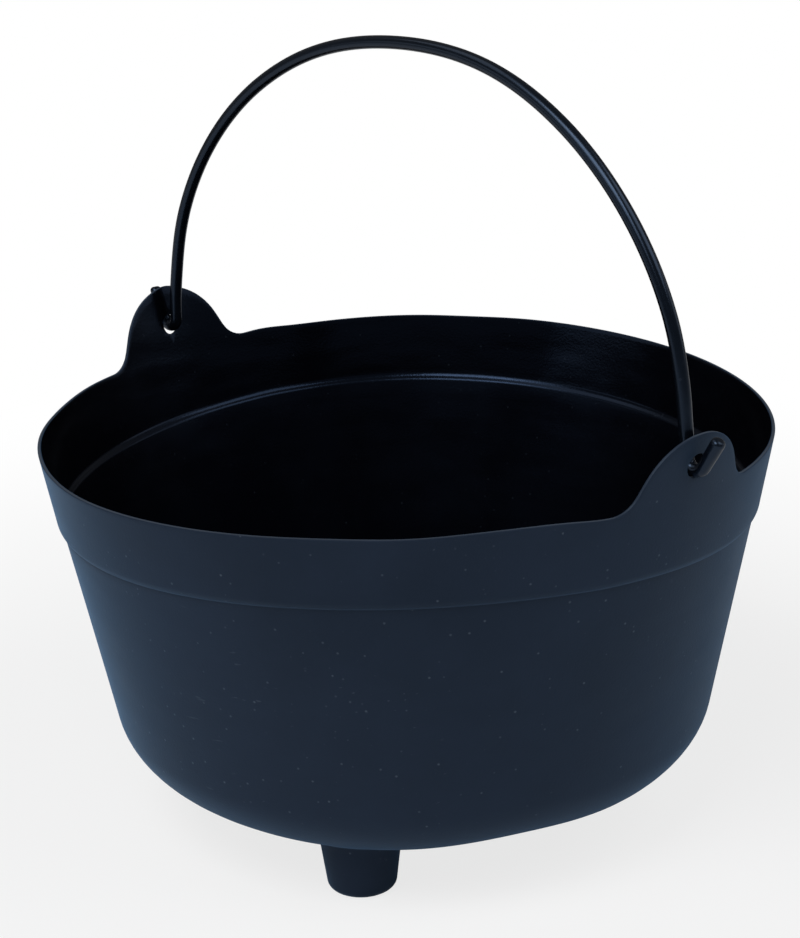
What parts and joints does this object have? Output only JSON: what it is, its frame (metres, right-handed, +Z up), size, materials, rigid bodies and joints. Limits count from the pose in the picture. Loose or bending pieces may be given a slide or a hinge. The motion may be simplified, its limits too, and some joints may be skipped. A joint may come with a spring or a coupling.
{
  "type": "cauldron",
  "caption": "Thin-walled moulded cauldron with a stepped rim band, pierced ears, hollow feet and a round swinging bail hooked through the ears.",
  "frame": {"origin": "centre of the floor under the three feet, on the pot's axis", "axes": "+Z up along the pot's axis; +X through the ear that is at the right in the picture, along the bail's pivot line; +Y away from the viewer"},
  "size_m": [0.3704, 0.3398, 0.3674],
  "materials": {
    "pot_plastic": "dark slate blue-black moulded plastic, matt outside and slightly shinier inside",
    "bail_plastic": "smooth black rod with a satin shine"
  },
  "bodies": {
    "pot": {"pot": "pot_plastic"},
    "bail": {"bail": "bail_plastic"}
  },
  "joints": [
    {"name": "bail_swing", "type": "hinge", "parent": "pot", "child": "bail", "pos_m": [0, 0, 0.2045], "axis": [1, 0, 0], "range_deg": [-92.3, 95.7]}
  ]
}
